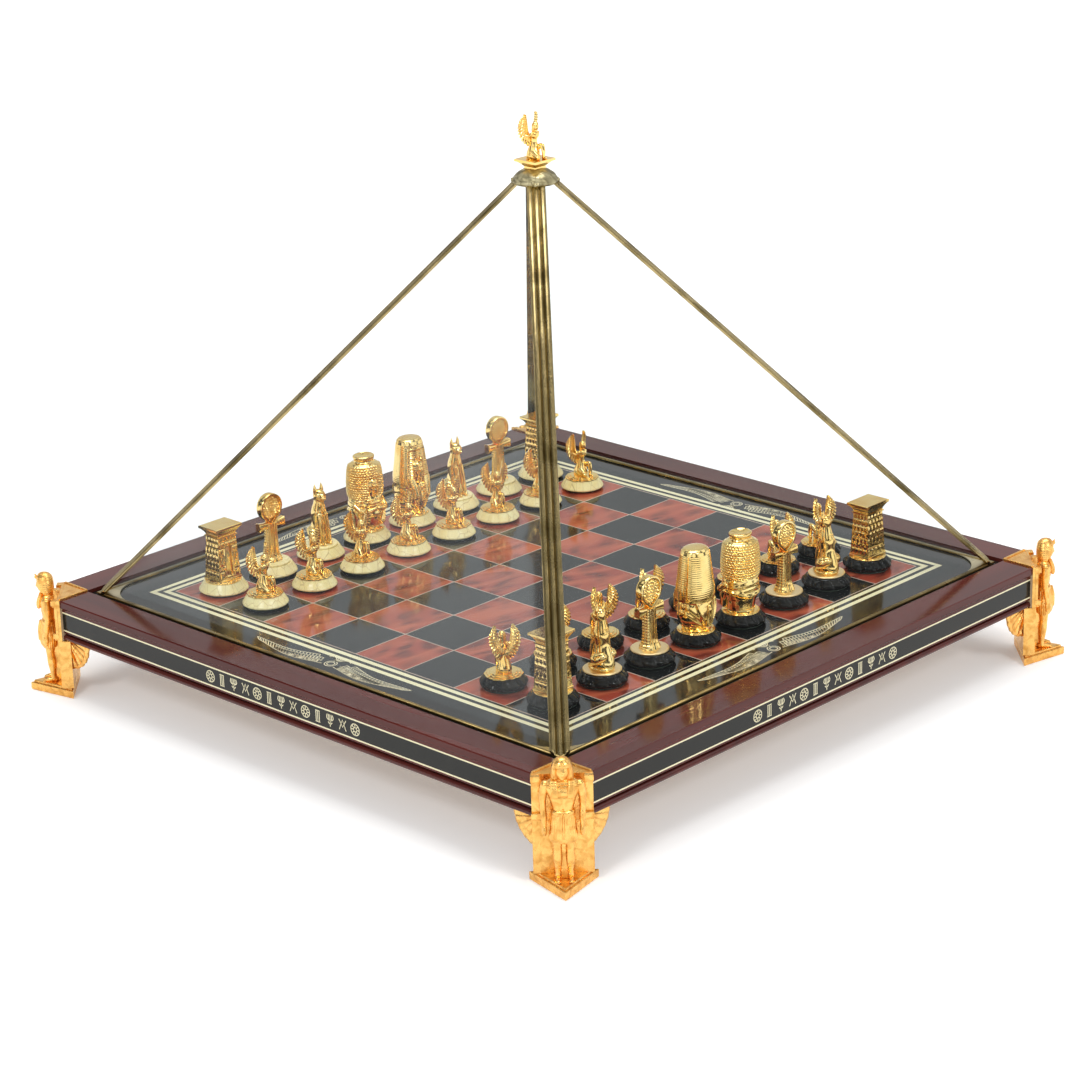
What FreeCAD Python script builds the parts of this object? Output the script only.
import FreeCAD, Part
import math
import os

import Sketcher

# A chess set under a glass pyramid. Lengths are in millimetres.
# Z is up, and Z = 0 is the floor under the four feet. The middle of the board lies on the Z axis.
# The black army stands on the -Y side of the board and the ivory army on the +Y side.

V = FreeCAD.Vector
UP = V(0, 0, 1)
QUARTER = 90.0
CORNERS = 4

doc = FreeCAD.newDocument("ChessSet")
sheet = doc.addObject("Spreadsheet::Sheet", "Sizes")

SIZES = (
    ("square_pitch", 40.0, "pitch of the squares"),
    ("square_line", 0.6, "pale line between two squares"),
    ("panel_top", 61.0, "playing surface above the floor"),
    ("panel_thick", 6.0, "lacquered playing panel"),
    ("panel_play", 0.5, "gap between the panel and the rails"),
    ("inlay_deep", 0.6, "depth of the squares and lines let into the panel"),
    ("inner_line_out", 3.8, "middle of the inner ivory border line outside the field"),
    ("line_spacing", 6.0, "pitch of the two ivory border lines"),
    ("border_line_wide", 3.2, "width of an ivory border line"),
    ("core_thick", 14.0, "board under the panel"),
    ("border_wide", 38.5, "black border between the field and the frame"),
    ("rail_wide", 21.5, "width of a frame rail"),
    ("rail_proud", 2.2, "rail top above the playing surface"),
    ("rail_arris", 0.6, "softened edge on top of a rail"),
    ("nose_high", 3.6, "upright nose of a rail"),
    ("cove_radius", 1.6, "hollow under the nose"),
    ("listel_high", 1.7, "plain strip under the hollow"),
    ("fascia_high", 12.4, "black band with its two ivory lines"),
    ("fascia_line", 0.9, "height of an ivory line on the band"),
    ("veneer_thick", 1.0, "thickness of the band and its lines"),
    ("lip_high", 1.1, "strip under the band"),
    ("quirk_high", 1.4, "shadow groove under the strip"),
    ("quirk_deep", 2.4, "depth of the shadow groove"),
    ("skirt_high", 3.8, "lower rail"),
    ("skirt_inset", 1.0, "lower rail behind the nose"),
    ("corner_leg", 22.6, "corner cut off the frame, along each side"),
    ("dowel_radius", 2.0, "dowel between a foot and the frame"),
    ("dowel_long", 12.0, "length of that dowel"),
    ("plate_thick", 1.4, "three-cornered plate on top of a foot"),
    ("plate_edge", 1.6, "raised edge of that plate"),
    ("plate_rim", 0.7, "height of the raised edge"),
    ("plate_drop", 1.0, "underside of that plate below the rail top"),
    ("weld_overlap", 0.2, "how far the parts of one casting run into each other"),
    ("foot_wide", 32.5, "upright panel of a foot"),
    ("foot_upper_thick", 1.9, "upright panel beside the frame"),
    ("foot_lower_thick", 6.6, "upright panel under the frame"),
    ("pilaster_wide", 4.4, "pilaster at each edge of that panel"),
    ("pilaster_deep", 1.6, "pilaster in front of the panel"),
    ("capital_deep", 3.4, "block on top of a pilaster"),
    ("capital_high", 3.6, "height of that block"),
    ("capital_ledge", 0.3, "block wider than its pilaster on each side"),
    ("plinth_high", 6.2, "three-cornered plinth on the floor"),
    ("plinth_wide", 37.0, "back edge of the plinth"),
    ("plinth_long", 28.0, "plinth from its back edge to its tip"),
    ("plinth_inset", 2.0, "top of the plinth inside its foot"),
    ("plinth_back", 6.2, "plinth's back edge behind the panel's face"),
    ("statue_tall", 70.4, "standing figure on the plinth"),
    ("statue_wide", 21.3, "shoulders of the standing figure"),
    ("statue_stand_off", 7.6, "figure's axis in front of the panel's face"),
    ("fan_radius", 19.0, "quarter-round fan beside the foot"),
    ("fan_thick", 3.0, "thickness of a fan"),
    ("fan_setback", 4.0, "fan behind the rail's nose"),
    ("cover_play", 4.5, "gap between the frame and the foot of the glass pyramid"),
    ("cover_tall", 261.0, "height at which the pyramid's faces would meet"),
    ("cover_clearance", 0.3, "gap under the glass pyramid"),
    ("glass_thick", 3.0, "glass pane"),
    ("came_cover", 1.2, "brass over the glass at a hip"),
    ("came_wide", 9.2, "width of the outer flange of a hip"),
    ("came_inner_wide", 6.0, "width of the inner flange of a hip"),
    ("came_web", 2.2, "web of a hip between two panes"),
    ("channel_high", 3.0, "brass channel at the foot of the glass"),
    ("channel_wide", 7.6, "width of that channel"),
    ("gusset_thick", 1.2, "flat brass corner plate"),
    ("gusset_round", 21.0, "radius of the corner plate's hollow edge"),
    ("cap_radius", 14.0, "dome on the apex"),
    ("cap_over", 3.6, "dome beyond the faces of the glass under it"),
    ("cap_rim", 2.6, "upright rim of the dome"),
    ("cap_high", 8.4, "height of the dome"),
    ("cap_top_radius", 6.0, "flat on top of the dome"),
    ("pedestal_foot", 9.0, "width of the finial's pedestal at its foot"),
    ("pedestal_wide", 17.2, "width of the finial's pedestal plate"),
    ("pedestal_high", 5.8, "height of the finial's pedestal"),
    ("pedestal_plate", 1.4, "thickness of the pedestal's plate"),
    ("finial_tall", 26.6, "winged figure on the apex"),
    ("piece_clearance", 0.3, "gap under a chess piece"),
    ("felt_thick", 0.8, "felt under a chess piece"),
    ("felt_inset", 2.0, "felt inside the edge of the base"),
    ("back_rank_inset", 2.0, "back rank inside the middle of its squares, clear of the sloping glass"),
    ("base_radius", 15.2, "widest radius of a base, back rank"),
    ("pawn_base_radius", 14.0, "widest radius of a base, pawns"),
    ("base_high", 7.2, "top of the stone base"),
    ("base_draw_in", 3.3, "top of a base inside its widest radius"),
    ("collar_high", 1.3, "gold collar or disc on a base"),
    ("collar_radius", 11.2, "radius of that collar"),
    ("rook_tall", 42.7, "height of a rook"),
    ("rook_slab", 1.7, "thickness of a rook's slab"),
    ("rook_cornice", 4.4, "height of a rook's hollow cornice"),
    ("rook_wide", 21.0, "slab of a rook along the ranks"),
    ("rook_deep", 16.0, "slab of a rook along the files"),
    ("cat_tall", 49.7, "height of a cat"),
    ("ankh_tall", 52.1, "height of an ankh"),
    ("ankh_wide", 20.5, "arms of an ankh"),
    ("ankh_thick", 4.2, "thickness of an ankh's rim"),
    ("ankh_loop", 17.2, "loop of an ankh"),
    ("queen_tall", 56.2, "height of a queen"),
    ("queen_deep", 14.8, "wig of a queen, front to back"),
    ("queen_wide", 24.5, "wig of a queen"),
    ("king_tall", 58.1, "height of a king"),
    ("king_deep", 14.8, "headcloth of a king, front to back"),
    ("king_wide", 26.6, "folded wings of a king"),
    ("pawn_tall", 37.7, "height of a pawn"),
    ("wing_thick", 1.3, "feathered wing of a pawn"),
)

for row, (alias, value, meaning) in enumerate(SIZES, 1):
    sheet.set(f"A{row}", meaning)
    sheet.set(f"B{row}", str(value))
    sheet.setAlias(f"B{row}", alias)
doc.recompute()


def size(alias):
    """A driving dimension, read from the sheet."""
    return float(sheet.get(alias))


def worked_out(expression):
    """The value of an expression on the sheet's aliases."""
    return float(sheet.evalExpression(expression))


# Sums of driving dimensions that several pieces share, as expressions on the sheet.
SQUARES = 8
FIELD_HALF = f"{SQUARES} / 2 * Sizes.square_pitch"
OPENING_HALF = f"{FIELD_HALF} + Sizes.border_wide"
FRAME_HALF = f"{OPENING_HALF} + Sizes.rail_wide"
RAIL_HALF_LONG = f"({FRAME_HALF} - Sizes.corner_leg)"
RAIL_TOP = "Sizes.panel_top + Sizes.rail_proud"
NOSE_FOOT = f"{RAIL_TOP} - Sizes.rail_arris - Sizes.nose_high"
FASCIA_FACE = f"{FRAME_HALF} - Sizes.cove_radius"
FASCIA_TOP = f"{NOSE_FOOT} - Sizes.cove_radius - Sizes.listel_high"
FASCIA_FOOT = f"{FASCIA_TOP} - Sizes.fascia_high"
RAIL_FOOT = f"{FASCIA_FOOT} - Sizes.lip_high - Sizes.quirk_high"
SKIRT_FOOT = f"{RAIL_FOOT} - Sizes.skirt_high"

frame_half = worked_out(FRAME_HALF)
rail_half_long = worked_out(RAIL_HALF_LONG)
rail_top = worked_out(RAIL_TOP)
rail_foot = worked_out(RAIL_FOOT)
skirt_foot = worked_out(SKIRT_FOOT)
panel_top = size("panel_top")
field_half = worked_out(FIELD_HALF)
opening_half = worked_out(OPENING_HALF)
corner_leg = size("corner_leg")


def origin_plane(body, role):
    """One of a body's own three origin planes."""
    return next(item for item in body.Origin.OriginFeatures if item.Role == role)


def outline(body, name, role, corners):
    """A closed sketch through corners that are pairs of expressions, pinned to the sheet."""
    sketch = body.newObject("Sketcher::SketchObject", name)
    sketch.AttachmentSupport = [(origin_plane(body, role), "")]
    sketch.MapMode = "FlatFace"
    places = [V(worked_out(corner[0]), worked_out(corner[1]), 0) for corner in corners]
    for index, start in enumerate(places):
        end = places[(index + 1) % len(places)]
        sketch.addGeometry(Part.LineSegment(start, end))
    for index, corner in enumerate(corners):
        following = (index + 1) % len(corners)
        sketch.addConstraint(Sketcher.Constraint("Coincident", index, 2, following, 1))
        for kind, expression in (("DistanceX", corner[0]), ("DistanceY", corner[1])):
            held = sketch.addConstraint(
                Sketcher.Constraint(kind, -1, 1, index, 1, worked_out(expression)))
            sketch.setExpression(f"Constraints[{held}]", expression)
    return sketch


def padded_body(label, role, corners, length, both_ways=False):
    """A body made by padding one outline by an expression."""
    body = doc.addObject("PartDesign::Body", label)
    body.Label = label
    sketch = outline(body, f"{label}_outline", role, corners)
    pad = body.newObject("PartDesign::Pad", f"{label}_pad")
    pad.Profile = sketch
    pad.SideType = "Symmetric" if both_ways else "One side"
    pad.setExpression("Length", length)
    sketch.Visibility = False
    body.Tip = pad
    return body


def feature(label, shape, place=None):
    """A piece whose shape comes from the functions below, then its place."""
    piece = doc.addObject("Part::Feature", label)
    piece.Label = label
    piece.Shape = shape
    if place is not None:
        piece.Placement = place
    return piece


def about_z(angle, move=None):
    """A placement that turns about the board's axis."""
    return FreeCAD.Placement(move or V(0, 0, 0), FreeCAD.Rotation(UP, angle))


def turned(shape, angle):
    """A copy of a shape, turned about the board's axis."""
    copy = shape.copy()
    copy.rotate(V(0, 0, 0), UP, angle)
    return copy


def all_round(shape):
    """Four copies of a shape, a quarter turn apart, as one group."""
    return Part.Compound([turned(shape, QUARTER * side) for side in range(CORNERS)])


def face_of(points):
    """The flat face inside a closed run of points."""
    return Part.Face(Part.makePolygon(list(points) + [points[0]]))


def prism(points, low, high):
    """A plan outline raised from one level to another."""
    return face_of([V(across, along, low) for across, along in points]).extrude(UP * (high - low))


def box(low, high):
    """A block between two opposite corners."""
    return Part.makeBox(high[0] - low[0], high[1] - low[1], high[2] - low[2], V(*low))


# Frame. Four mahogany-coloured rails with square-cut ends stand round the playing panel.
RAIL_PROFILE = (
    (OPENING_HALF, RAIL_FOOT),
    (f"{FASCIA_FACE} - Sizes.quirk_deep", RAIL_FOOT),
    (f"{FASCIA_FACE} - Sizes.quirk_deep", f"{RAIL_FOOT} + Sizes.quirk_high"),
    (FASCIA_FACE, f"{RAIL_FOOT} + Sizes.quirk_high"),
    (FASCIA_FACE, FASCIA_FOOT),
    (f"{FASCIA_FACE} - Sizes.veneer_thick", FASCIA_FOOT),
    (f"{FASCIA_FACE} - Sizes.veneer_thick", FASCIA_TOP),
    (FASCIA_FACE, FASCIA_TOP),
    (FASCIA_FACE, f"{FASCIA_TOP} + Sizes.listel_high"),
    (FRAME_HALF, NOSE_FOOT),
    (FRAME_HALF, f"{RAIL_TOP} - Sizes.rail_arris"),
    (f"{FRAME_HALF} - Sizes.rail_arris", RAIL_TOP),
    (OPENING_HALF, RAIL_TOP),
)

# The four sides of the board, counted from +X anticlockwise.
SIDES = ("right", "back", "left", "front")
for turn, side in enumerate(SIDES):
    rail = padded_body(f"frame_rail_{side}", "XZ_Plane", RAIL_PROFILE, f"2 * {RAIL_HALF_LONG}", True)
    rail.Placement = about_z(QUARTER * turn)


def rail_strip(inner, outer, low, high):
    """A strip on one side of the frame, as long as the rails, copied to the four sides."""
    strip = box((inner, -rail_half_long, low), (outer, rail_half_long, high))
    return all_round(strip)


# Fascia. A black band sits in the rabbet of each rail between two thin ivory lines.
fascia_face = worked_out(FASCIA_FACE)
fascia_back = fascia_face - size("veneer_thick")
fascia_top = worked_out(FASCIA_TOP)
fascia_foot = worked_out(FASCIA_FOOT)
line_high = size("fascia_line")
feature("fascia_bands", rail_strip(fascia_back, fascia_face, fascia_foot + line_high, fascia_top - line_high))
feature("fascia_lines", Part.Compound([
    rail_strip(fascia_back, fascia_face, fascia_foot, fascia_foot + line_high),
    rail_strip(fascia_back, fascia_face, fascia_top - line_high, fascia_top),
]))

# Lower rails. A rounded strip runs under each rail, behind the shadow groove.
skirt_face = frame_half - size("skirt_inset")
skirt_round = size("skirt_high") / 2
skirt = box((opening_half, -rail_half_long, skirt_foot),
            (skirt_face - skirt_round, rail_half_long, rail_foot))
skirt_axis = V(skirt_face - skirt_round, -rail_half_long, skirt_foot + skirt_round)
skirt_nose = Part.makeCylinder(skirt_round, 2 * rail_half_long, skirt_axis, V(0, 1, 0))
feature("lower_rails", all_round(skirt.fuse(skirt_nose)))

# Corner blocks. A hardwood block fills each corner behind the cut face, bored for the foot's dowel.
block_top = rail_top - size("plate_drop")
block_plan = (
    (opening_half, rail_half_long),
    (frame_half, rail_half_long),
    (rail_half_long, frame_half),
    (rail_half_long, opening_half),
    (opening_half, opening_half),
)
cut_face = (frame_half + rail_half_long) / math.sqrt(2)
dowel_level = (skirt_foot + block_top) / 2
dowel_axis = V(-1, -1, 0).normalize()
dowel_start = V(1, 1, 0).normalize() * cut_face + UP * dowel_level
DOWEL_FIT = 0.05
dowel = Part.makeCylinder(size("dowel_radius"), size("dowel_long"), dowel_start, dowel_axis)
dowel_bore = Part.makeCylinder(
    size("dowel_radius") + DOWEL_FIT, size("dowel_long") + DOWEL_FIT, dowel_start, dowel_axis)
corner_block = prism(block_plan, skirt_foot, block_top).cut(dowel_bore)
feature("corner_blocks", all_round(corner_block))
feature("foot_dowels", all_round(dowel))

# Core. A plain board lies inside the rails and carries the playing panel.
core = doc.addObject("Part::Box", "core_board")
core.Label = "core_board"
core.setExpression("Length", f"2 * ({OPENING_HALF})")
core.setExpression("Width", f"2 * ({OPENING_HALF})")
core.setExpression("Height", "Sizes.core_thick")
core.Placement = FreeCAD.Placement(
    V(-opening_half, -opening_half, panel_top - size("panel_thick") - size("core_thick")), FreeCAD.Rotation())

# Playing panel. Black lacquer, with the red squares and the ivory border lines let in flush.
pitch = size("square_pitch")
inlay_foot = panel_top - size("inlay_deep")
line_gap = size("square_line") / 2


def red_square(column, rank):
    """One red square, counted from the -X, -Y corner of the field."""
    west = column * pitch - field_half
    south = rank * pitch - field_half
    return box((west + line_gap, south + line_gap, inlay_foot),
               (west + pitch - line_gap, south + pitch - line_gap, panel_top))


def border_line(half):
    """One square ivory ring, centred on the given half width."""
    outer = half + size("border_line_wide") / 2
    inner = half - size("border_line_wide") / 2
    ring = box((-outer, -outer, inlay_foot), (outer, outer, panel_top))
    return ring.cut(box((-inner, -inner, inlay_foot - 1), (inner, inner, panel_top + 1)))


red_squares = Part.Compound([
    red_square(column, rank)
    for column in range(SQUARES) for rank in range(SQUARES) if (column + rank) % 2
])
inner_line_half = field_half + size("inner_line_out")
outer_line_half = inner_line_half + size("line_spacing")
border_lines = Part.Compound([border_line(inner_line_half), border_line(outer_line_half)])
feature("red_squares", red_squares)
feature("border_lines", border_lines)
panel_blank = doc.addObject("Part::Box", "panel_blank")
panel_blank.setExpression("Length", f"2 * ({OPENING_HALF} - Sizes.panel_play)")
panel_blank.setExpression("Width", f"2 * ({OPENING_HALF} - Sizes.panel_play)")
panel_blank.setExpression("Height", "Sizes.panel_thick")
panel_half = opening_half - size("panel_play")
panel_blank.Placement = FreeCAD.Placement(
    V(-panel_half, -panel_half, panel_top - size("panel_thick")), FreeCAD.Rotation())
inlay_room = feature("inlay_room", Part.Compound([red_squares, border_lines]))
panel = doc.addObject("Part::Cut", "playing_panel")
panel.Label = "playing_panel"
panel.Base = panel_blank
panel.Tool = inlay_room


def oval(level, half_x, half_y, centre_x=0.0, centre_y=0.0):
    """A closed smooth ring at one level, through eight points of an ellipse."""
    points = []
    for step in range(8):
        angle = math.pi * step / 4
        points.append(V(centre_x + half_x * math.cos(angle), centre_y + half_y * math.sin(angle), level))
    ring = Part.BSplineCurve()
    ring.interpolate(Points=points, PeriodicFlag=True)
    return Part.Wire([ring.toShape()])


def rounded_body(rings):
    """A smooth solid through ovals, each given as level, half width, half depth and centre."""
    return Part.makeLoft([oval(*ring) for ring in rings], True, False)


def block_body(rings):
    """A solid through rectangles, each given as level, half width and half depth."""
    wires = []
    for level, half_x, half_y in rings:
        corners = [V(half_x, half_y, level), V(-half_x, half_y, level),
                   V(-half_x, -half_y, level), V(half_x, -half_y, level)]
        wires.append(Part.makePolygon(corners + [corners[0]]))
    return Part.makeLoft(wires, True, True)


def limb(start, end, radius_start, radius_end):
    """A tapered round limb between two points, with round ends."""
    start = V(*start)
    end = V(*end)
    along = end - start
    if abs(radius_start - radius_end) < 0.01:
        bone = Part.makeCylinder(radius_start, along.Length, start, along)
    else:
        bone = Part.makeCone(radius_start, radius_end, along.Length, start, along)
    return [bone, Part.makeSphere(radius_start, start), Part.makeSphere(radius_end, end)]


def joined(parts):
    """One casting from parts that run into each other."""
    return parts[0].fuse(list(parts[1:]))


# Feet. Each foot is one gilt casting: a triangular plate over the frame's corner, an upright
# panel with two pilasters, a three-cornered plinth, a standing figure and two fans.
# The foot is drawn with its diagonal along +X and then turned to its corner.
STATUE_DRAWN = 70.4
weld = size("weld_overlap")
foot_half = size("foot_wide") / 2
panel_face = cut_face + size("foot_upper_thick")
plinth_high = size("plinth_high")


def foot_panel():
    """The upright panel: thin beside the frame and thick under it, with pilasters and their blocks."""
    lower = box((panel_face - size("foot_lower_thick"), -foot_half, plinth_high),
                (panel_face, foot_half, skirt_foot))
    upper = box((cut_face, -foot_half, skirt_foot), (panel_face, foot_half, block_top + size("plate_thick")))
    parts = [lower, upper]
    wide = size("pilaster_wide")
    deep = size("pilaster_deep")
    capital = size("capital_deep")
    side_ledge = size("capital_ledge")
    head = rail_top + weld
    waist = rail_foot + size("quirk_high")
    for sign in (-1, 1):
        near = sign * (foot_half - wide)
        far = sign * foot_half
        low, high = min(near, far), max(near, far)
        parts.append(box((panel_face - weld, low, waist), (panel_face + deep, high, head)))
        for level in (head, waist):
            parts.append(box((panel_face - weld, low - side_ledge, level - size("capital_high")),
                             (panel_face + capital, high + side_ledge, level)))
    return parts


def foot_plate():
    """The triangular plate on top of the corner, with a raised edge along its two short sides."""
    apex = rail_half_long * math.sqrt(2)
    half = corner_leg / math.sqrt(2)
    low = block_top
    high = block_top + size("plate_thick")
    edge = size("plate_edge")
    rim = size("plate_rim")
    front = cut_face + weld
    plan = ((apex, 0), (front, -half), (front, half))
    sunk = ((apex + edge * math.sqrt(2), 0), (front + edge, -half), (front + edge, half))
    return [prism(plan, low, high + rim).cut(prism(sunk, high, high + 2 * rim))]


def foot_plinth():
    """A plinth with a plain lower step and a hollow above it, three-cornered in plan."""
    back = panel_face - size("plinth_back")
    tip = back + size("plinth_long")
    half = size("plinth_wide") / 2
    step = plinth_high * 0.35
    waist = plinth_high * 0.7
    step_in = size("plinth_inset") / 5
    shrink = size("plinth_inset")

    def ring(inset, level):
        corners = [V(back, half - inset, level), V(back, -half + inset, level),
                   V(tip - inset * math.sqrt(2), 0, level)]
        return Part.makePolygon(corners + [corners[0]])

    lower = Part.makeLoft([ring(0, 0), ring(step_in, step)], True, True)
    upper = Part.makeLoft([ring(step_in, step), ring(shrink, waist), ring(shrink, plinth_high)], True, True)
    return [lower, upper]


def foot_fan(sign):
    """A quarter-round fan in the plane of one frame side, its straight edges up and inward."""
    radius = size("fan_radius")
    top = skirt_foot - weld
    plane = frame_half - size("fan_setback")
    panel_back = panel_face - size("foot_lower_thick")
    corner = panel_back * math.sqrt(2) - plane + size("fan_thick")
    centre = V(corner, plane - size("fan_thick"), top)
    disc = Part.makeCylinder(radius, size("fan_thick"), centre, V(0, 1, 0))
    fan = disc.common(box((corner - radius, centre.y, top - radius), (corner, plane, top)))
    if sign < 0:
        fan = fan.mirror(V(0, 0, 0), V(1, -1, 0).normalize())
    return turned(fan, -QUARTER / 2)


def statue():
    """The standing figure, arms at its sides, in a kilt, a broad collar and a headcloth."""
    tall = size("statue_tall")
    wide = size("statue_wide") / 2
    at = panel_face + size("statue_stand_off")
    unit = tall / STATUE_DRAWN

    def ring(share, half_wide, half_deep, shift=0.0):
        return (plinth_high + tall * share, half_deep * unit, half_wide * unit, at + shift * unit, 0.0)

    def joint(forward, aside, share):
        return (at + forward * unit, aside * unit, plinth_high + tall * share)

    kilt = rounded_body((ring(0.335, 6.6, 4.0, 0.3), ring(0.45, 6.0, 4.0), ring(0.56, 5.2, 3.4)))
    torso = rounded_body((
        ring(0.55, 5.1, 3.3), ring(0.66, 6.6, 3.8, 0.2), ring(0.765, 9.0, 4.2), ring(0.815, 7.0, 3.0)))
    head = rounded_body((
        ring(0.80, 3.6, 2.8), ring(0.86, 5.2, 4.4, 0.5), ring(0.93, 5.3, 4.7, 0.5), ring(0.998, 2.4, 2.4)))
    parts = [kilt, torso, head]
    for side in (-1, 1):
        parts += limb(joint(0, side * 3.2, 0.36), joint(0, side * 3.0, 0.07), 3.3 * unit, 2.0 * unit)
        heel = joint(-2.4, side * 3.0 - 1.9, -0.003)
        toes = joint(5.4, side * 3.0 + 1.9, 0.037)
        parts.append(box(heel, toes))
        reach = side * wide / unit
        shoulder = joint(0, reach - side * 2.1, 0.79)
        elbow = joint(-0.2, reach - side * 1.3, 0.60)
        hand = joint(0.8, reach - side * 1.9, 0.42)
        parts += limb(shoulder, elbow, 2.1 * unit, 1.6 * unit)
        parts += limb(elbow, hand, 1.6 * unit, 1.9 * unit)
    half_spine = 2.2 * unit
    spine = box((panel_face - weld, -half_spine, plinth_high), (at, half_spine, plinth_high + tall * 0.86))
    parts.append(spine)
    return parts


foot = joined(foot_panel() + foot_plate() + foot_plinth() + [foot_fan(1), foot_fan(-1)] + statue())
FOOT_CORNERS = (("foot_back_right", 45.0), ("foot_back_left", 135.0),
                ("foot_front_left", 225.0), ("foot_front_right", 315.0))
for name, heading in FOOT_CORNERS:
    feature(name, foot, about_z(heading))


# Cover. Four glass panes in brass, standing on the playing panel inside the frame.
cover_half = opening_half - size("cover_play")
cover_tall = size("cover_tall")
cover_foot = panel_top + size("cover_clearance")
slope_long = math.hypot(cover_half, cover_tall)
slope_out = cover_tall / slope_long
slope_up = cover_half / slope_long
slope_angle = math.degrees(math.atan2(cover_tall, cover_half))
channel_high = size("channel_high")
glass_outer = size("came_cover")
glass_inner = glass_outer + size("glass_thick")
cap_foot = cover_tall - (size("cap_radius") - size("cap_over")) * cover_tall / cover_half


def cover_width(depth, level):
    """Half width of the pyramid at a level above its foot, on a plane sunk below its faces."""
    return cover_half - depth / slope_out - level * slope_up / slope_out


# A pane stands on the channel with its lower inner edge and stops under the dome.
GLASS_FIT = 0.05
web_room = size("came_web") / 2 + 0.2
hip_flat = math.atan2(slope_up, 1.0)
pane_foot = channel_high + size("glass_thick") * slope_up + GLASS_FIT
pane_head = cap_foot - GLASS_FIT
hip_lean = math.sqrt(1 + slope_up ** 2)
pane_trim = size("glass_thick") / slope_out + web_room * hip_lean * math.sqrt(2)
pane_low_half = cover_width(glass_outer, pane_foot) - pane_trim
pane_high_half = cover_width(glass_outer, pane_head) - pane_trim
pane_slope = (pane_head - pane_foot) / slope_out
for turn, side in enumerate(SIDES):
    pane = padded_body(f"glass_pane_{side}", "XY_Plane", (
        ("0", "0"),
        (f"{2 * pane_low_half}", "0"),
        (f"{pane_low_half + pane_high_half}", f"{pane_slope}"),
        (f"{pane_low_half - pane_high_half}", f"{pane_slope}"),
    ), "Sizes.glass_thick")
    tilt = FreeCAD.Rotation(V(1, 0, 0), slope_angle)
    face_out = FreeCAD.Rotation(UP, QUARTER)
    outer_foot = V(cover_width(glass_outer, pane_foot), -pane_low_half, cover_foot + pane_foot)
    inner_foot = outer_foot - V(slope_out, 0, slope_up) * size("glass_thick")
    stand = FreeCAD.Placement(inner_foot, face_out.multiply(tilt))
    pane.Placement = about_z(QUARTER * turn).multiply(stand)


def hip_came():
    """A brass hip with a roof-shaped outer flange, a web and an inner flange, along one hip edge."""
    bottom = V(cover_half, cover_half, 0)
    apex = V(0, 0, cover_tall)
    along = (apex - bottom).normalize()
    sideways = V(-1, 1, 0).normalize()
    outward = sideways.cross(along) * -1
    if outward.z < 0:
        outward = outward * -1
    fall = math.tan(math.acos(V(slope_out, 0, slope_up).dot(outward)))
    lean = math.hypot(1, fall)

    def point(across, depth):
        return bottom + sideways * across - outward * (abs(across) * fall + depth * lean)

    flange = size("came_wide") / 2
    inner = size("came_inner_wide") / 2
    web = size("came_web") / 2
    under = glass_outer - GLASS_FIT
    over = glass_inner + GLASS_FIT
    bottom_face = over + glass_outer
    corners = [
        (flange, 0), (0, 0), (-flange, 0), (-flange, under), (-web, under), (-web, over), (-inner, over),
        (-inner, bottom_face), (0, bottom_face), (inner, bottom_face), (inner, over), (web, over),
        (web, under), (flange, under),
    ]
    section = face_of([point(across, depth) for across, depth in corners])
    section.translate(along * -cover_half)
    bar = section.extrude(along * (2 * cover_tall))
    slab = box((-cover_half * 2, -cover_half * 2, channel_high), (cover_half * 2, cover_half * 2, cap_foot))
    return bar.common(slab)


def at_cover(shape):
    """A copy of a cover part, raised from the cover's own foot to the playing panel."""
    copy = shape.copy()
    copy.translate(UP * cover_foot)
    return copy


feature("hip_cames", at_cover(all_round(hip_came())))

# Base channel. Four mitred brass bars carry the lower edges of the panes.
channel_inner = cover_half - size("channel_wide")
channel_bar = prism(((channel_inner, -channel_inner), (cover_half, -cover_half),
                     (cover_half, cover_half), (channel_inner, channel_inner)), 0, channel_high)
feature("base_channel", at_cover(all_round(channel_bar)))

# Corner plates. A flat brass plate with a hollow edge stiffens each corner of the channel.
gusset_round = size("gusset_round")
gusset_block = box((channel_inner - gusset_round, channel_inner - gusset_round, 0),
                   (channel_inner, channel_inner, size("gusset_thick")))
gusset_centre = channel_inner - gusset_round
gusset_hollow = Part.makeCylinder(
    gusset_round - 0.02, size("gusset_thick") + 2, V(gusset_centre, gusset_centre, -1))
feature("corner_gussets", at_cover(all_round(gusset_block.cut(gusset_hollow))))

# Apex. A soldered brass dome closes the top and carries a square pedestal.
dome = rounded_body((
    (cap_foot, size("cap_radius"), size("cap_radius")),
    (cap_foot + size("cap_rim"), size("cap_radius"), size("cap_radius")),
    (cap_foot + size("cap_high") * 0.75, size("cap_radius") * 0.72, size("cap_radius") * 0.72),
    (cap_foot + size("cap_high"), size("cap_top_radius"), size("cap_top_radius")),
))
feature("apex_cap", at_cover(dome))
pedestal_foot = cap_foot + size("cap_high")
pedestal_top = pedestal_foot + size("pedestal_high")
pedestal_half = size("pedestal_wide") / 2
plate_foot = pedestal_top - size("pedestal_plate")
pedestal_flare = block_body((
    (pedestal_foot, size("pedestal_foot") / 2, size("pedestal_foot") / 2),
    (pedestal_foot + size("pedestal_plate"), size("pedestal_foot") / 2, size("pedestal_foot") / 2),
    (plate_foot, pedestal_half * 0.9, pedestal_half * 0.9),
))
pedestal_plate = box((-pedestal_half, -pedestal_half, plate_foot),
                     (pedestal_half, pedestal_half, pedestal_top))
feature("finial_pedestal", at_cover(pedestal_flare.fuse(pedestal_plate)))


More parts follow.
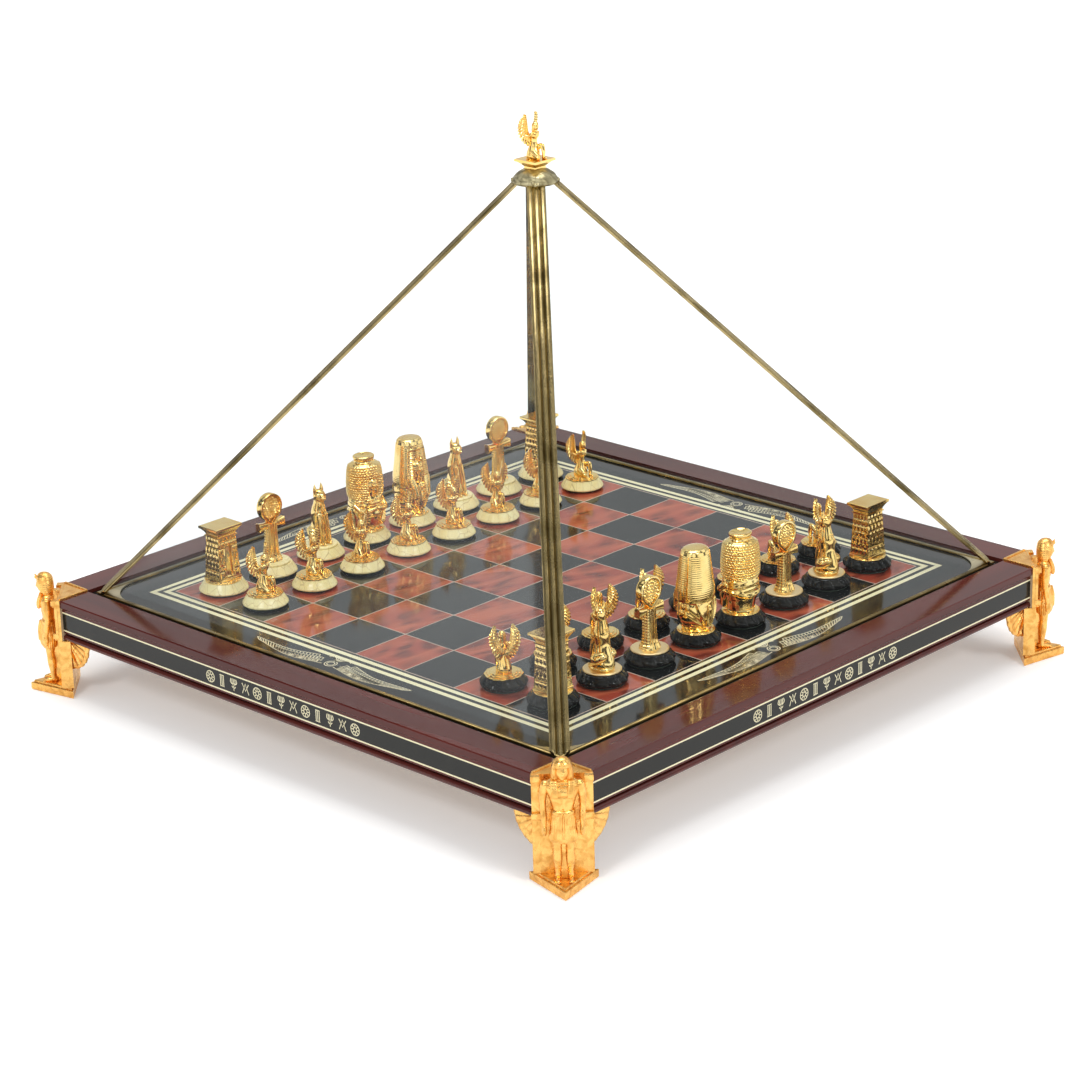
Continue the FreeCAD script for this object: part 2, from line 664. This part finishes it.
def wing(tall, thick, side):
    """One raised wing, a plate between two arcs, sweeping out and back at half a right angle."""
    reach = tall * 0.36
    root_low = V(0, 0, tall * 0.30)
    root_high = V(tall * 0.05, 0, tall * 0.56)
    tip = V(reach * 0.62, 0, tall)
    outer = Part.Arc(root_low, V(reach, 0, tall * 0.62), tip).toShape()
    inner = Part.Arc(tip, V(reach * 0.50, 0, tall * 0.76), root_high).toShape()
    closing = Part.LineSegment(root_high, root_low).toShape()
    plate = Part.Face(Part.Wire([outer, inner, closing])).extrude(V(0, thick, 0))
    plate.translate(V(0, -thick / 2, 0))
    plate.rotate(V(0, 0, 0), UP, 45 if side > 0 else 135)
    return plate


WINGED_DRAWN = 29.4


def winged_figure(tall, foot_level):
    """A kneeling winged figure that looks along -Y, one knee raised, its wings held high."""
    body = tall - foot_level
    unit = body / WINGED_DRAWN

    def up(share):
        return foot_level + body * share

    def ring(share, half_x, half_y, forward):
        return (up(share), half_x * unit, half_y * unit, 0, -forward * unit)

    def joint(aside, forward, share):
        return (aside * unit, -forward * unit, up(share))

    parts = [
        rounded_body((ring(0.0, 4.2, 5.2, -0.6), ring(0.14, 4.4, 5.0, -0.8), ring(0.30, 3.0, 3.2, -0.8),
                      ring(0.44, 2.6, 2.2, -0.2), ring(0.58, 3.6, 2.2, 0.8), ring(0.63, 1.4, 1.2, 1.2))),
        rounded_body((ring(0.60, 1.3, 1.2, 1.2), ring(0.66, 2.2, 2.3, 1.6),
                      ring(0.75, 2.3, 2.4, 1.6), ring(0.82, 1.0, 1.0, 1.4))),
    ]
    knee = joint(2.0, 5.2, 0.30)
    parts += limb(joint(1.6, 0.5, 0.22), knee, 1.7 * unit, 1.4 * unit)
    parts += limb(knee, joint(2.0, 6.2, 0.04), 1.3 * unit, 1.0 * unit)
    parts += limb(joint(-1.8, 0.5, 0.16), joint(-2.2, 5.6, 0.07), 2.0 * unit, 1.5 * unit)
    for side in (-1, 1):
        parts += limb(joint(side * 3.0, 0.8, 0.56), joint(side * 5.2, -2.0, 0.50), 1.2 * unit, 0.9 * unit)
        winged = wing(body, size("wing_thick"), side)
        winged.translate(V(side * 1.4, 0.6, 0) * unit + UP * foot_level)
        parts.append(winged)
    return joined(parts).common(box((-tall, -tall, foot_level), (tall, tall, tall * 2)))


finial_figure = winged_figure(size("finial_tall"), 0.0)
finial_figure.translate(UP * pedestal_top)
feature("finial_figure", at_cover(finial_figure))


# Chess pieces. Each has a felt pad, a turned stone base and a gilt casting on a collar.
# A piece is drawn on its own axis, looking along -Y, with the underside of its felt at Z = 0.
base_top = size("base_high")
collar_top = base_top + size("collar_high")


def felt_and_base(radius, ivory):
    """The felt pad and the flared base, a skirt for ivory and a bellied stone for black."""
    felt = Part.makeCylinder(radius - size("felt_inset"), size("felt_thick"))
    low = size("felt_thick")
    rise = base_top - low
    top_radius = radius - size("base_draw_in")
    if ivory:
        shape = ((radius * 0.95, low), (radius, low + rise * 0.17), (radius * 0.985, low + rise * 0.34))
    else:
        shape = ((radius * 0.88, low), (radius, low + rise * 0.25), (radius, low + rise * 0.5))
    sides = [V(out, 0, level) for out, level in shape]
    points = [V(0, 0, low)] + sides + [V(top_radius, 0, base_top), V(0, 0, base_top)]
    base = face_of(points).revolve(V(0, 0, 0), UP, 360)
    return [felt, base]


def collar(radius):
    """The gold ring or disc between the base and the figure."""
    return Part.makeCylinder(radius, size("collar_high"), V(0, 0, base_top))


def rook_figure():
    """A tapered gate tower of coursed stone under a hollow cornice and a flat slab."""
    tall = size("rook_tall")
    half_x = size("rook_wide") / 2
    half_y = size("rook_deep") / 2
    slab = tall - size("rook_slab")
    hollow = slab - size("rook_cornice")
    tower = block_body((
        (collar_top - weld, half_x * 0.84, half_y * 0.88), (hollow, half_x * 0.66, half_y * 0.70)))
    roll_high = size("rook_slab") / 2
    bend = hollow + size("rook_cornice") / 2
    roll = block_body((
        (hollow - roll_high, half_x * 0.73, half_y * 0.78), (hollow + weld, half_x * 0.73, half_y * 0.78)))
    cornice = block_body(((hollow, half_x * 0.66, half_y * 0.70), (bend, half_x * 0.72, half_y * 0.76),
                          (slab, half_x * 0.96, half_y * 0.96)))
    top = box((-half_x, -half_y, slab), (half_x, half_y, tall))
    door_half = half_x / 5
    doorway = box((-door_half, -half_y * 2, collar_top),
                  (door_half, -half_y * 0.62, collar_top + door_half * 3))
    return joined([tower, roll, cornice, top]).cut(doorway)


CAT_DRAWN = 41.2


def cat_figure():
    """A seated cat with a collar, upright ears and its tail beside the haunches."""
    tall = size("cat_tall")
    unit = (tall - collar_top) / CAT_DRAWN

    def up(share):
        return collar_top + (tall - collar_top) * share

    def ring(share, half_x, half_y, forward):
        return (up(share), half_x * unit, half_y * unit, 0, -forward * unit)

    def joint(aside, forward, share):
        return (aside * unit, -forward * unit, up(share))

    body = rounded_body((
        ring(0.0, 5.2, 6.6, -1.2), ring(0.12, 5.7, 6.8, -1.2), ring(0.30, 4.9, 5.6, -0.8),
        ring(0.52, 4.0, 4.2, 0.0), ring(0.66, 3.0, 3.0, 0.6), ring(0.76, 2.3, 2.5, 0.8)))
    head = rounded_body((
        ring(0.72, 2.2, 2.6, 1.0), ring(0.78, 3.0, 3.9, 1.9),
        ring(0.85, 3.1, 3.4, 1.4), ring(0.905, 2.0, 2.0, 0.8)))
    parts = [body, head]
    for side in (-1, 1):
        ear_foot = joint(side * 1.9, 0.6, 0.86)
        parts.append(Part.makeCone(1.5 * unit, 0.25 * unit, tall - up(0.86), V(*ear_foot)))
        parts += limb(joint(side * 2.1, 3.2, 0.50), joint(side * 2.3, 5.6, 0.05), 1.5 * unit, 1.25 * unit)
    parts += limb(joint(4.8, -3.4, 0.05), joint(5.6, 3.4, 0.05), 1.2 * unit, 1.0 * unit)
    return joined(parts).common(box((-tall, -tall, collar_top - weld), (tall, tall, tall)))


def ankh_figure():
    """A looped cross: a flared shaft, two flared arms and a teardrop loop with a raised rim."""
    tall = size("ankh_tall")
    arms = size("ankh_wide") / 2
    loop = size("ankh_loop") / 2
    level = collar_top + (tall - collar_top) * 0.53
    centre = tall - loop * 1.05
    half_thick = size("ankh_thick") / 2
    flare = 3 * half_thick
    foot = Part.makeCone(flare, half_thick * 1.25, flare * 0.65, V(0, 0, collar_top - weld))
    shaft_foot = collar_top + flare * 0.4
    shaft_head = level + half_thick * 0.5
    shaft = Part.makeCone(half_thick * 1.3, half_thick, shaft_head - shaft_foot, V(0, 0, shaft_foot))
    end = half_thick * 1.05
    root = half_thick * 0.6
    waist = half_thick * 0.95
    profile = ((-arms, -end), (-waist, -root), (waist, -root), (arms, -end),
               (arms, end), (waist, root), (-waist, root), (-arms, end))
    cross = face_of([V(across, -half_thick * 0.8, level + rise) for across, rise in profile])
    cross = cross.extrude(V(0, half_thick * 1.6, 0))

    def teardrop(radius, thick, tip):
        disc = Part.makeCylinder(radius, thick, V(0, -thick / 2, centre), V(0, 1, 0))
        drop = centre - tip
        touch = radius * radius / drop
        side = radius * math.sqrt(1 - (radius / drop) ** 2)
        wedge = face_of([V(0, -thick / 2, tip), V(side, -thick / 2, centre - touch),
                         V(0, -thick / 2, centre), V(-side, -thick / 2, centre - touch)])
        return disc.fuse(wedge.extrude(V(0, thick, 0)))

    ring = teardrop(loop * 1.05, half_thick * 2, level)
    hollow = teardrop(loop * 0.76, half_thick * 4, level + loop * 0.37)
    web = teardrop(loop * 0.80, half_thick * 1.2, level + loop * 0.30)
    return joined([foot, shaft, cross, ring.cut(hollow), web])


def queen_figure():
    """A bust with wrapped arms, a broad collar, a round wig and a low flat crown."""
    tall = size("queen_tall")
    half = size("queen_wide") / 2
    deep = size("queen_deep") / 2

    def up(share):
        return collar_top + (tall - collar_top) * share

    bust = rounded_body((
        (up(0.0), half * 0.66, deep * 0.86), (up(0.10), half * 0.72, deep * 0.92),
        (up(0.30), half * 0.86, deep), (up(0.44), half * 0.90, deep * 0.95),
        (up(0.52), half * 0.60, deep * 0.70)))
    wig = rounded_body((
        (up(0.40), half * 0.80, deep * 0.80), (up(0.52), half, deep), (up(0.68), half * 0.94, deep),
        (up(0.82), half * 0.68, deep * 0.82), (up(0.90), half * 0.46, deep * 0.62)))
    crown = Part.makeCone(half * 0.46, half * 0.52, tall - up(0.88), V(0, 0, up(0.88)))
    return joined([bust, wig, crown])


def king_figure():
    """A taller bust in a striped headcloth with folded wings at its sides and a brow cobra."""
    tall = size("king_tall")
    half = size("king_wide") / 2
    deep = size("king_deep") / 2

    def up(share):
        return collar_top + (tall - collar_top) * share

    bust = rounded_body((
        (up(0.0), half * 0.62, deep * 0.86), (up(0.12), half * 0.78, deep * 0.95),
        (up(0.30), half * 0.90, deep), (up(0.42), half * 0.84, deep * 0.90),
        (up(0.52), half * 0.50, deep * 0.64)))
    cloth = rounded_body((
        (up(0.36), half * 0.78, deep * 0.86), (up(0.50), half * 0.92, deep),
        (up(0.66), half * 0.84, deep), (up(0.84), half * 0.60, deep * 0.86),
        (up(0.95), half * 0.36, deep * 0.55), (up(1.0), half * 0.10, deep * 0.16)))
    parts = [bust, cloth]
    parts += limb((0, -deep, up(0.50)), (0, -deep * 0.86, up(0.40)), deep * 0.15, deep * 0.12)
    for side in (-1, 1):
        parts.append(rounded_body((
            (up(0.02), half * 0.12, deep * 0.62, side * half * 0.74, deep * 0.13),
            (up(0.20), half * 0.17, deep * 0.70, side * half * 0.82, deep * 0.11),
            (up(0.40), half * 0.12, deep * 0.54, side * half * 0.86, deep * 0.08),
            (up(0.52), half * 0.05, deep * 0.22, side * half * 0.84, deep * 0.08))))
    return joined(parts)


FIGURES = {
    "rook": rook_figure(),
    "knight": cat_figure(),
    "bishop": ankh_figure(),
    "queen": queen_figure(),
    "king": king_figure(),
    "pawn": winged_figure(size("pawn_tall"), collar_top - weld),
}
for kind, figure in FIGURES.items():
    disc = collar(size("collar_radius"))
    FIGURES[kind] = disc.fuse(figure)

# Places. The files run from h at -X to a at +X, seen from the ivory side.
FILES = "hgfedcba"
BLACK_RANK = ("rook", "knight", "bishop", "king", "queen", "bishop", "knight", "rook")
IVORY_RANK = ("rook", "bishop", "knight", "queen", "king", "knight", "bishop", "rook")
HALF_TURN = 180.0


def stand(army, kind, column, rank, facing):
    """Puts one chess piece on the middle of its square."""
    single = kind in ("king", "queen")
    label = f"{army}_{kind}" if single else f"{army}_{kind}_{FILES[column]}"
    radius = size("pawn_base_radius") if kind == "pawn" else size("base_radius")
    shape = Part.Compound(felt_and_base(radius, army == "ivory") + [FIGURES[kind]])
    inset = 0.0 if kind == "pawn" else size("back_rank_inset")
    away = 1 if rank < SQUARES / 2 else -1
    middle = V((column + 0.5) * pitch - field_half, (rank + 0.5) * pitch - field_half + away * inset,
               panel_top + size("piece_clearance"))
    feature(label, shape, about_z(facing, middle))


for column in range(SQUARES):
    stand("black", BLACK_RANK[column], column, 0, HALF_TURN)
    stand("black", "pawn", column, 1, HALF_TURN)
    stand("ivory", "pawn", column, SQUARES - 2, 0.0)
    stand("ivory", IVORY_RANK[column], column, SQUARES - 1, 0.0)

doc.recompute()

# Only finished pieces are written: not the sheet, the sketches and pads, or the panel's blank.
HELPERS = ("panel_blank", "inlay_room")
KINDS = ("PartDesign::Body", "Part::Feature", "Part::Box", "Part::Cut")
pieces = [item for item in doc.Objects if item.TypeId in KINDS and item.Label not in HELPERS]
for item in doc.Objects:
    if "Invalid" in item.State or "Error" in item.State:
        raise RuntimeError(f"{item.Label} did not build: {item.State}")
unsound = [piece.Label for piece in pieces if piece.Shape.isNull() or not piece.Shape.isValid()]
if unsound:
    raise RuntimeError(f"no valid shape: {unsound}")

os.makedirs("parts", exist_ok=True)
for piece in pieces:
    piece.Shape.exportStep(f"parts/{piece.Label}.step")
print(len(pieces), "pieces written")
